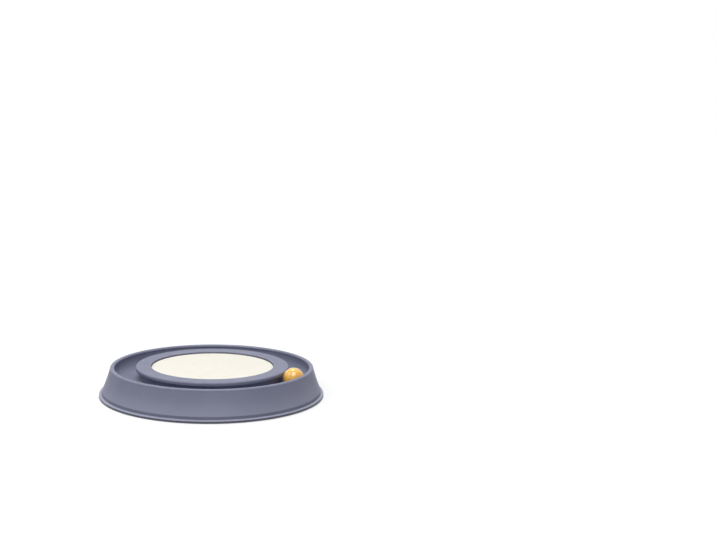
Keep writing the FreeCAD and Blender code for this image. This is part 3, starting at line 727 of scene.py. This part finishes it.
def makeRubber(name, look):
    # matte rubber: fine grain, dust in its pores, and a slow drift of roughness
    material, tree, shader, place = newMaterial(name, look["sockets"])
    grain = useGroup(tree, mouldGrain, {"Place": place, "Grains per metre": look["grainsPerMetre"]})
    pores = ramped(tree, grain["Height"], *look["poreSpan"], 0.0, look["poreDust"])
    tree.links.new(blended(tree, pores, look["colour"], look["dust"]), shader.inputs["Base Color"])
    rough = ramped(tree, grain["Drift"], *look["driftSpan"], look["smoothest"], look["roughest"])
    tree.links.new(rough, shader.inputs["Roughness"])
    bumped(tree, shader, grain["Height"], look["grainHeight"])
    return material


trayPlastic = makePlastic("trayPlastic", plasticLook)
padFelt = makeFibrous("padFelt", feltLook)
padBoard = makeFibrous("padBoard", boardLook)
ballPlastic = makeBall("ballPlastic", ballLook)
screwSteel = makeSteel("screwSteel", steelLook, "screw")
beadSteel = makeSteel("beadSteel", steelLook, "bead")
footRubber = makeRubber("footRubber", rubberLook)
print("materials made")


# Ball track: sizes that the tray, the platform and the ball share

track = {
    "ballDiameter": 38.0,
    "capture": 0.8,          # the slot is narrower than the ball by this
    "runGap": 0.3,
    "lipHeight": 7.0,        # side of the platform's lip
    "lipDrop": 4.1,          # middle of the ball below the lip
    "floorSlope": 24.0,      # inner side of the track, degrees
    "seatDepth": 0.7,        # seat of the platform's wall
    "seatGap": 0.3,
    "wall": 2.6,
    "lipOverhang": 7.5,
    "ringWidth": 26.7,
    "ribThickness": 2.0,
    "segments": 320,
}

baseRadius, floorLift, rimTop = boxSize("base_tray")
platformRadius, _, platformTop = boxSize("centre_platform")
lipUnder = platformTop - track["lipHeight"]
ballHeight = lipUnder - track["lipDrop"]
rimInner = platformRadius + track["ballDiameter"] - track["capture"]
trackRadius = (rimInner + platformRadius) / 2
troughRadius = track["ballDiameter"] / 2 + 2 * track["runGap"]
troughHeight = ballHeight + track["runGap"]
troughWall = trackRadius + troughRadius
slope = math.radians(track["floorSlope"])
slopeRadius = trackRadius - troughRadius * math.sin(slope)
slopeHeight = troughHeight - troughRadius * math.cos(slope)
platformWall = platformRadius - track["lipOverhang"]
seatRadius = platformWall + track["seatGap"]
seatTop = slopeHeight + (slopeRadius - seatRadius) * math.tan(slope)
deckTop = seatTop - track["seatDepth"]
deckUnder = deckTop - track["wall"]
ribSink = track["wall"] / 2
recessRadius = platformRadius - track["ringWidth"]

screws = {
    "count": 6,
    "bearing": 30.0,
    "trayHole": 2.3,
    "pilot": 1.85,
    "overshoot": 1.0,        # a hole's cutter goes this far past both faces
    "holeSegments": 32,
    "pipeSegments": 48,      # of the pipes round the screws
}
screwReach = (recessRadius + platformWall) / 2


def ribAlong(outline, bearing):
    # a rib or gusset of the shared thickness
    return slabAlong(outline, track["ribThickness"], bearing)


def aroundScrews(make):
    # the same shell at each screw's bearing
    return around(make, screws["count"], screws["bearing"])


def screwPipe(inner, outer, low, high, rounding, bearing):
    # a short upright pipe round a screw, with its edges rounded
    corners = np.array([(inner, low), (outer, low), (outer, high), (inner, high)])
    place = middleAt(bearing, screwReach)
    return turnedAbout(softened(corners, rounding), screws["pipeSegments"], place)


def screwHole(bearing):
    # a round cutter through the deck, its middle at the screw
    low, high = deckUnder - screws["overshoot"], deckTop + screws["overshoot"]
    radius = screws["trayHole"]
    corners = np.array([(0, low), (radius, low), (radius, high), (0, high)])
    return turnedSolid(corners, screws["holeSegments"], middleAt(bearing, screwReach))


# Tray: foot flange, step, flared skirt, rim, ring track and deck in one moulding

tray = {
    "flangeWidth": 4.8,
    "flangeHeight": 4.2,
    "flangeRound": 1.5,
    "stepHeight": 5.2,
    "stepDraft": 0.6,
    "skirtLean": 13.6,
    "skirtCurve": 300.0,
    "rimRound": 3.0,
    "rimCore": 4.1,
    "deckHole": 45.0,
    "edgeRound": 0.45,
    "gussets": 12,
    "gussetBearing": 15.0,
    "gussetBottom": 9.0,
    "posts": 6,
    "postRadius": 11.3,
    "postRound": 0.3,
    "postRings": 7,          # rings of the post's top, whose edge stays sharp:
    "postTrim": 1.0,         # no rounding is kept within this of it
    "postSegments": 64,
    "pocketRadius": 9.1,
    "pocketDepth": 2.4,
    "collarBore": 5.0,
    "collarRadius": 6.5,
    "collarHeight": 4.0,
    "collarRound": 0.3,
}


def traySection():
    # the moulding's section: deck, track floor and wall, rim, skirt, step and flange outside,
    # then back inside the skirt and under the track; and the section of one gusset. The
    # skirt's centre is found as in arcBetween, and its inside at a height is that centre less
    # the root of the curve's radius squared less the square of the height over it, less a wall
    wall = track["wall"]
    flangeTop = floorLift + tray["flangeHeight"]
    stepRadius = baseRadius - tray["flangeWidth"]
    skirtLowRadius = stepRadius - tray["stepDraft"]
    skirtLow = flangeTop + tray["stepHeight"]
    rimOuter = skirtLowRadius - tray["skirtLean"]
    skirtTop = rimTop - tray["rimRound"]
    ledge = troughWall - rimInner
    hollowTop = skirtTop - tray["rimCore"]
    chord = math.hypot(tray["skirtLean"], skirtTop - skirtLow)
    depth = math.sqrt(tray["skirtCurve"] ** 2 - chord**2 / 4)
    centreRadius = (skirtLowRadius + rimOuter) / 2 + depth * (skirtTop - skirtLow) / chord
    centreHeight = (skirtLow + skirtTop) / 2 + depth * tray["skirtLean"] / chord
    hollowReach = math.sqrt(tray["skirtCurve"] ** 2 - (hollowTop - centreHeight) ** 2)
    skirtInnerTop = centreRadius - hollowReach - wall
    underArc = troughRadius + wall
    underSlopeRadius = trackRadius - underArc * math.sin(slope)
    underSlopeHeight = troughHeight - underArc * math.cos(slope)
    underDeck = underSlopeRadius - (deckUnder - underSlopeHeight) / math.tan(slope)
    corners = [
        (tray["deckHole"], deckTop),
        (seatRadius, deckTop),
        (seatRadius, seatTop),
        (slopeRadius, slopeHeight),
        (troughWall, troughHeight),
        (troughWall, lipUnder + ledge),
        (rimInner, lipUnder + 2 * ledge),
        (rimInner, skirtTop),
        (rimInner + tray["rimRound"], rimTop),
        (rimOuter - tray["rimRound"], rimTop),
        (rimOuter, skirtTop),
        (skirtLowRadius, skirtLow),
        (stepRadius, flangeTop),
        (baseRadius - tray["flangeRound"], flangeTop),
        (baseRadius, flangeTop - tray["flangeRound"]),
        (baseRadius, floorLift),
        (stepRadius - wall, floorLift),
        (skirtLowRadius - wall, skirtLow),
        (skirtInnerTop, hollowTop),
        (troughWall + wall, hollowTop),
        (troughWall + wall, troughHeight),
        (underSlopeRadius, underSlopeHeight),
        (underDeck, deckUnder),
        (tray["deckHole"], deckUnder),
    ]
    arcs = {
        3: (troughRadius, "left"),
        7: (tray["rimRound"], "right"),
        9: (tray["rimRound"], "right"),
        10: (tray["skirtCurve"], "left"),
        13: (tray["flangeRound"], "right"),
        17: (tray["skirtCurve"], "right"),
        20: (underArc, "right"),
    }
    gussetCorners = [
        (trackRadius, tray["gussetBottom"]),
        (trackRadius, troughHeight - troughRadius - ribSink),
        (troughWall + ribSink, troughHeight),
        (troughWall + ribSink, hollowTop - wall),
        (skirtInnerTop + ribSink, hollowTop - wall),
        (skirtLowRadius - wall + ribSink, skirtLow),
        (skirtLowRadius - wall + ribSink, tray["gussetBottom"]),
    ]
    gusset = outlineThrough(gussetCorners, {1: (troughRadius + ribSink, "left")})
    return softened(outlineThrough(corners, arcs), tray["edgeRound"]), gusset


def footPost(bearing):
    # a round post with a pocket for its foot; its top follows the middle of the track's wall,
    # which is the trough's centre less the root of its radius squared less the way across squared
    pocket, outer, high = tray["pocketRadius"], tray["postRadius"], troughHeight
    rise = floorLift + tray["pocketDepth"]
    lower = [(0, rise), (pocket, rise), (pocket, floorLift), (outer, floorLift)]
    outline = softenedToAxis(np.array([*lower, (outer, high), (0, high)]), tray["postRound"])
    share = np.linspace(1, 0, tray["postRings"])
    ring = np.stack([outer * share, np.full(len(share), high)], 1)
    outline = np.concatenate([outline[outline[:, 1] < high - tray["postTrim"]], ring])
    points, faces = turnedSolid(outline, tray["postSegments"], middleAt(bearing, trackRadius))
    across = np.hypot(points[:, 0], points[:, 1]) - trackRadius
    roof = troughHeight - np.sqrt((troughRadius + ribSink) ** 2 - across**2)
    points[:, 2] = np.minimum(points[:, 2], roof)
    return points, faces


def screwCollar(bearing):
    # a short pipe round a screw's head, its top inside the deck
    low, high = deckUnder - tray["collarHeight"], deckUnder + ribSink
    return screwPipe(tray["collarBore"], tray["collarRadius"], low, high, tray["collarRound"], bearing)


def buildTray():
    # the turned section with gussets, foot posts and screw collars added, and its holes cut
    section, gusset = traySection()
    piece = meshObject("trayMoulding", *turnedAbout(section, track["segments"]))
    gussets = around(lambda bearing: ribAlong(gusset, bearing), tray["gussets"], tray["gussetBearing"])
    steps = [
        ("UNION", meshObject("gussets", *gussets)),
        ("UNION", meshObject("posts", *around(footPost, tray["posts"]))),
        ("UNION", meshObject("collars", *aroundScrews(screwCollar))),
        ("DIFFERENCE", meshObject("holes", *aroundScrews(screwHole))),
    ]
    combined(piece, steps)
    return piece


# Platform: ring top with its lip, recess for the pad, wall, ribs and screw bosses

platform = {
    "lipRound": 3.3,
    "lipUnderRound": 1.2,
    "lipCove": 2.0,
    "recessRound": 1.0,
    "recessDepth": 11.5,
    "pushHole": 15.0,
    "ribs": 6,
    "ribDepth": 4.5,
    "edgeRound": 0.4,
    "bandWidth": 12.0,       # inner band of the ring, a little lower
    "bandStep": 0.3,
    "bandEase": 3.0,
    "bandPoints": 9,
    "bossWall": 2.9,
    "bossRound": 0.2,
}


def platformSection():
    # from the ring's outer edge down the lip and the wall, back underneath to the push hole,
    # out along the recess floor and up to the ring's lower band, which eases up to its outer
    # band: the ease is three times the share squared less twice its cube. And a rib's section
    wall = track["wall"]
    floor = platformTop - platform["recessDepth"]
    wallIn = platformWall - wall
    band = platformTop - platform["bandStep"]
    bandEnd = recessRadius + platform["bandWidth"]
    cove = platform["lipCove"]
    under = platform["lipUnderRound"]
    share = np.linspace(0, 1, platform["bandPoints"])
    rise = platform["bandStep"] * share**2 * (3 - 2 * share)
    ease = np.stack([bandEnd + share * platform["bandEase"], band + rise], 1)
    corners = [
        (platformRadius - platform["lipRound"], platformTop),
        (platformRadius, platformTop - platform["lipRound"]),
        (platformRadius, lipUnder + under),
        (platformRadius - under, lipUnder),
        (platformWall + cove, lipUnder),
        (platformWall, lipUnder - cove),
        (platformWall, deckTop),
        (wallIn, deckTop),
        (wallIn, platformTop - wall),
        (recessRadius + wall, platformTop - wall),
        (recessRadius + wall, floor - wall),
        (platform["pushHole"], floor - wall),
        (platform["pushHole"], floor),
        (recessRadius, floor),
        (recessRadius, band - platform["recessRound"]),
        (recessRadius + platform["recessRound"], band),
        *ease,
    ]
    arcs = {
        0: (platform["lipRound"], "right"),
        2: (under, "right"),
        4: (cove, "left"),
        14: (platform["recessRound"], "right"),
    }
    low = floor - wall - platform["ribDepth"]
    rib = [
        (platform["pushHole"] + 2 * wall, low),
        (platform["pushHole"] + 2 * wall, floor - ribSink),
        (recessRadius + ribSink, floor - ribSink),
        (recessRadius + ribSink, platformTop - ribSink),
        (platformWall - ribSink, platformTop - ribSink),
        (platformWall - ribSink, low),
    ]
    return softened(outlineThrough(corners, arcs), platform["edgeRound"]), np.array(rib, float)


def screwBoss(bearing):
    # a pipe from the deck into the ring, with the screw's pilot hole
    inner, outer = screws["pilot"], screws["pilot"] + platform["bossWall"]
    return screwPipe(inner, outer, deckTop, platformTop - ribSink, platform["bossRound"], bearing)


def buildPlatform():
    # the turned section with its ribs and bosses added
    section, rib = platformSection()
    piece = meshObject("platformMoulding", *turnedAbout(section, track["segments"]))
    ribs = around(lambda bearing: ribAlong(rib, bearing), platform["ribs"])
    steps = [
        ("UNION", meshObject("ribs", *ribs)),
        ("UNION", meshObject("bosses", *aroundScrews(screwBoss))),
    ]
    combined(piece, steps)
    return piece


# Scratch pad: a thick disc of felt with a rolled edge and a slight crown

pad = {
    "edgeRoll": 1.9,
    "rollPoints": 11,
    "facePoints": 60,
    "lowerEdge": ((1.0, 0.0), (0.25, 0.1), (0.0, 0.6)),  # ways in from the side and up
    "crown": 0.35,
    "sag": 0.12,             # slow unevenness of the felt
    "sagMiddle": 0.5,        # its middle and its swing, as parts of it
    "sagSwing": 0.31,
    "swellAcross": (5.1, 0.7),   # radians from the middle to the edge, and where it starts
    "swellAlong": (4.3, -0.4),
    "rippleAcross": 3.9,
    "rippleAlong": 9.7,
    "rippleStart": 1.1,
    "rippleShare": 0.6,
    "liftPower": 3,          # it fades away down the side,
    "rimFade": 4,            # and towards the edge
    "segments": 256,
    "sharpFrom": 60.0,
}


def buildPad():
    # height is the edge's height plus a crown that falls with the square of the radius, less
    # a slow unevenness made of a few sines; the edge is a quarter of a circle
    radius, bottom, top = boxSize("scratch_pad")
    edgeTop = top - pad["crown"]
    under = [(0, bottom), (radius / 2, bottom)]
    under += [(radius - inset, bottom + rise) for inset, rise in pad["lowerEdge"]]
    under += [(radius, (bottom + edgeTop) / 2)]
    roll = np.radians(np.linspace(0, 90, pad["rollPoints"]))
    inset, down = pad["edgeRoll"] * (1 - np.cos(roll)), pad["edgeRoll"] * (1 - np.sin(roll))
    edge = np.stack([radius - inset, edgeTop - down], 1)
    flat = np.linspace(radius - pad["edgeRoll"], 0, pad["facePoints"])[1:]
    face = np.stack([flat, edgeTop + pad["crown"] * (1 - (flat / radius) ** 2)], 1)
    points, faces = turnedSolid(np.concatenate([under, edge, face]), pad["segments"])
    x, y = points[:, 0] / radius, points[:, 1] / radius
    (across, acrossStart), (along, alongStart) = pad["swellAcross"], pad["swellAlong"]
    swell = np.sin(across * x + acrossStart) * np.cos(along * y + alongStart)
    ripple = np.sin(pad["rippleAlong"] * y + pad["rippleAcross"] * x + pad["rippleStart"])
    wave = swell + pad["rippleShare"] * ripple
    lift = np.clip((points[:, 2] - bottom) / (edgeTop - bottom), 0, 1) ** pad["liftPower"]
    fade = np.clip((1 - x**2 - y**2) * pad["rimFade"], 0, 1)
    points[:, 2] -= pad["sag"] * (pad["sagMiddle"] + pad["sagSwing"] * wave) * lift * fade
    return meshObject("scratchPad", points, faces)


# Ball: two hollow halves that meet at a small groove, and the bead that rattles inside

ball = {
    "wall": 1.6,
    "seamGroove": 0.3,
    "seamRound": 0.1,
    "rows": 32,              # from the seam to the pole
    "segments": 128,
    "beadRows": 32,          # from pole to pole
    "beadSegments": 64,
}


def halfSection():
    # from the pole inside along the bore, across the seam's face and its groove, and along the
    # outside to the pole there: a point of either arc is its radius times the sine and the
    # cosine of its angle from the pole
    radius = track["ballDiameter"] / 2
    bore = radius - ball["wall"]
    angle = np.linspace(0, np.pi / 2, ball["rows"] + 1)
    inside = bore * np.stack([np.sin(angle), np.cos(angle)], 1)
    angle = np.linspace(math.acos(ball["seamGroove"] / radius), 0, ball["rows"] + 1)
    outside = radius * np.stack([np.sin(angle), np.cos(angle)], 1)
    seam = (radius - ball["seamGroove"], 0)
    outline = np.concatenate([[(0, bore)], inside, [seam], outside, [(0, radius)]])
    return softenedToAxis(outline, ball["seamRound"])


def buildHalf(name, side):
    # the section turned about its own axis, which is then laid along the line from the tray's
    # axis to the ball's middle, outwards where side is 1 and inwards where it is -1: a point
    # is that middle plus its three parts times the upright, sideways and lengthways directions
    halves = ("ball_outer_half", "ball_inner_half")
    corners = np.array([[*corner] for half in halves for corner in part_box(half)])
    middle = perMetre * (corners.min(0) + corners.max(0)) / 2
    along = side * np.array([middle[0], middle[1], 0]) / math.hypot(middle[0], middle[1])
    upright = np.array([0, 0, 1])
    points, faces = turnedSolid(halfSection(), ball["segments"])
    laid = points @ np.array([upright, np.cross(along, upright), along])
    return meshObject(name, laid + middle, faces)


def buildBead():
    # half a circle turned about an upright axis through the middle of the bead's box
    low, high = (perMetre * np.array([*corner]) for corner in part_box("rattle_bead"))
    middle, radius = (low + high) / 2, (high[2] - low[2]) / 2
    angle = np.linspace(0, np.pi, ball["beadRows"] + 1)
    outline = np.stack([radius * np.sin(angle), middle[2] - radius * np.cos(angle)], 1)
    return meshObject("rattleBead", *turnedSolid(outline, ball["beadSegments"], (middle[0], middle[1])))


trayPiece = buildTray()
markEdges(trayPiece)
finished(trayPiece, trayPlastic, "tray", "base_tray")

platformPiece = buildPlatform()
markEdges(platformPiece)
finished(platformPiece, trayPlastic, "tray", "centre_platform")

padPiece = buildPad()
finished(padPiece, padFelt, "pad", "scratch_pad", pad["sharpFrom"])

finished(buildHalf("ballOuterHalf", 1), ballPlastic, "ball", "ball_outer_half")
finished(buildHalf("ballInnerHalf", -1), ballPlastic, "ball", "ball_inner_half")
finished(buildBead(), beadSteel, "rattle", "rattle_bead")


# Pieces whose frame shape is right: they only get their finish

finishes = {
    "pad_board": padBoard,
    "platform_screws": screwSteel,
}
finishes.update({f"foot_pad_{i}": footRubber for i in range(1, tray["posts"] + 1)})
for name, material in finishes.items():
    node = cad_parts[name]
    node.data.materials.clear()
    node.data.materials.append(material)
print("frame pieces finished")


# Stage: floor, light and camera

studio = {
    "worldStrength": 0.27,
    "floorHalf": 6.0,        # from the middle to each side
    "floorColour": 0.42,     # what the object sees
    "floorWhite": 0.95,      # what the camera sees
    "floorSockets": {"Roughness": 0.6, "Specular IOR Level": 0.0},
    "glowNear": 0.12,
    "glowFar": 1.0,
    "glowFrom": 0.35,
    "glowTo": 1.6,
    "frontPower": 23.0,
    "frontPlace": (0.0, -0.9, 1.8),
    "frontSize": 1.4,
    "backPower": 9.1,
    "backPlace": (0.0, 0.9, 1.8),
    "backSize": 0.8,
    "sidePower": 6.2,
    "sidePlace": (-1.3, -0.3, 1.3),
    "sideSize": 1.2,
    "lampAim": (0.0, 0.0, 0.03),
}


def cameraLike(tree):
    # 1 for rays that the camera sees straight, in a mirror or through glass, else 0
    path = put(tree, "ShaderNodeLightPath").outputs
    mirror = maths(tree, "MAXIMUM", path["Is Glossy Ray"], path["Is Transmission Ray"])
    return maths(tree, "MAXIMUM", path["Is Camera Ray"], mirror)


def buildFloor():
    # a wide floor, grey to the object's light and white to the camera, which keeps its
    # shadows; further out it glows more, because the lamps fade there
    half = studio["floorHalf"] * perMetre
    corners = np.array([(-half, -half, 0), (half, -half, 0), (half, half, 0), (-half, half, 0)], float)
    floor = meshObject("floor", corners, [[0, 1, 2, 3]])
    material, tree, shader, place = newMaterial("floorPale", studio["floorSockets"])
    seen = cameraLike(tree)
    grey, white = ((c, c, c, 1) for c in (studio["floorColour"], studio["floorWhite"]))
    tree.links.new(blended(tree, seen, grey, white), shader.inputs["Base Color"])
    reach = put(tree, "ShaderNodeVectorMath", {0: place}, operation="LENGTH").outputs["Value"]
    glow = ramped(tree, reach, studio["glowFrom"], studio["glowTo"], studio["glowNear"], studio["glowFar"])
    light = put(tree, "ShaderNodeEmission", {"Strength": maths(tree, "MULTIPLY", seen, glow)})
    both = put(tree, "ShaderNodeAddShader", {0: shader.outputs[0], 1: light.outputs[0]})
    tree.links.new(both.outputs[0], tree.nodes["Material Output"].inputs["Surface"])
    floor.data.materials.append(material)


def buildWorld():
    # a weak white world that the camera sees at full strength
    world = bpy.data.worlds.new("studio")
    bpy.context.scene.world = world
    world.use_nodes = True
    tree = world.node_tree
    sky = tree.nodes["Background"]
    tree.links.new(maths(tree, "MAXIMUM", cameraLike(tree), studio["worldStrength"]), sky.inputs["Strength"])
    sky.inputs["Color"].default_value = (1, 1, 1, 1)


def addLamp(name, side):
    # a round soft lamp that faces the lamps' aim
    data = bpy.data.lights.new(name, "AREA")
    data.energy = studio[side + "Power"]
    data.shape = "DISK"
    data.size = studio[side + "Size"]
    lamp = bpy.data.objects.new(name, data)
    lamp.location = studio[side + "Place"]
    ahead = Vector(studio["lampAim"]) - Vector(studio[side + "Place"])
    lamp.rotation_euler = ahead.to_track_quat("-Z", "Y").to_euler()
    bpy.context.scene.collection.objects.link(lamp)


view = {
    "distance": 2.0,
    "elevation": 13.777,
    "aim": 0.025,            # height of the point that the camera stands round
    "pan": -7.556,           # the object stands left of and below the picture's middle
    "tilt": 5.715,
    "roll": 0.191,
    "lens": 54.93,           # millimetres, as the sensor's width is
    "sensor": 36.0,
}


def turnedVector(vector, axis, degrees):
    # a direction turned about an axis
    return Matrix.Rotation(math.radians(degrees), 3, axis) @ vector


def buildCamera():
    # the camera stands back from the aim at its elevation, then pans about its own upward
    # axis, tilts about its sideways axis and rolls about its line of sight
    rise = math.radians(view["elevation"])
    back = Vector((0, -math.cos(rise), math.sin(rise)))
    place = back * view["distance"] + Vector((0, 0, view["aim"]))
    ahead, right = -back, Vector((1, 0, 0))
    up = right.cross(ahead)
    ahead, right = (turnedVector(a, up, view["pan"]) for a in (ahead, right))
    ahead, up = (turnedVector(a, right, view["tilt"]) for a in (ahead, up))
    right, up = (turnedVector(a, ahead, view["roll"]) for a in (right, up))
    data = bpy.data.cameras.new("camera")
    data.lens = view["lens"]
    data.sensor_width = view["sensor"]
    camera = bpy.data.objects.new("camera", data)
    turn = Matrix((right, up, -ahead)).transposed().to_4x4()
    camera.matrix_world = Matrix.Translation(place) @ turn
    bpy.context.scene.collection.objects.link(camera)
    bpy.context.scene.camera = camera


buildFloor()
buildWorld()
addLamp("overheadFront", "front")
addLamp("overheadBack", "back")
addLamp("side", "side")
buildCamera()
bpy.context.scene.view_settings.view_transform = "Standard"
print("stage made")
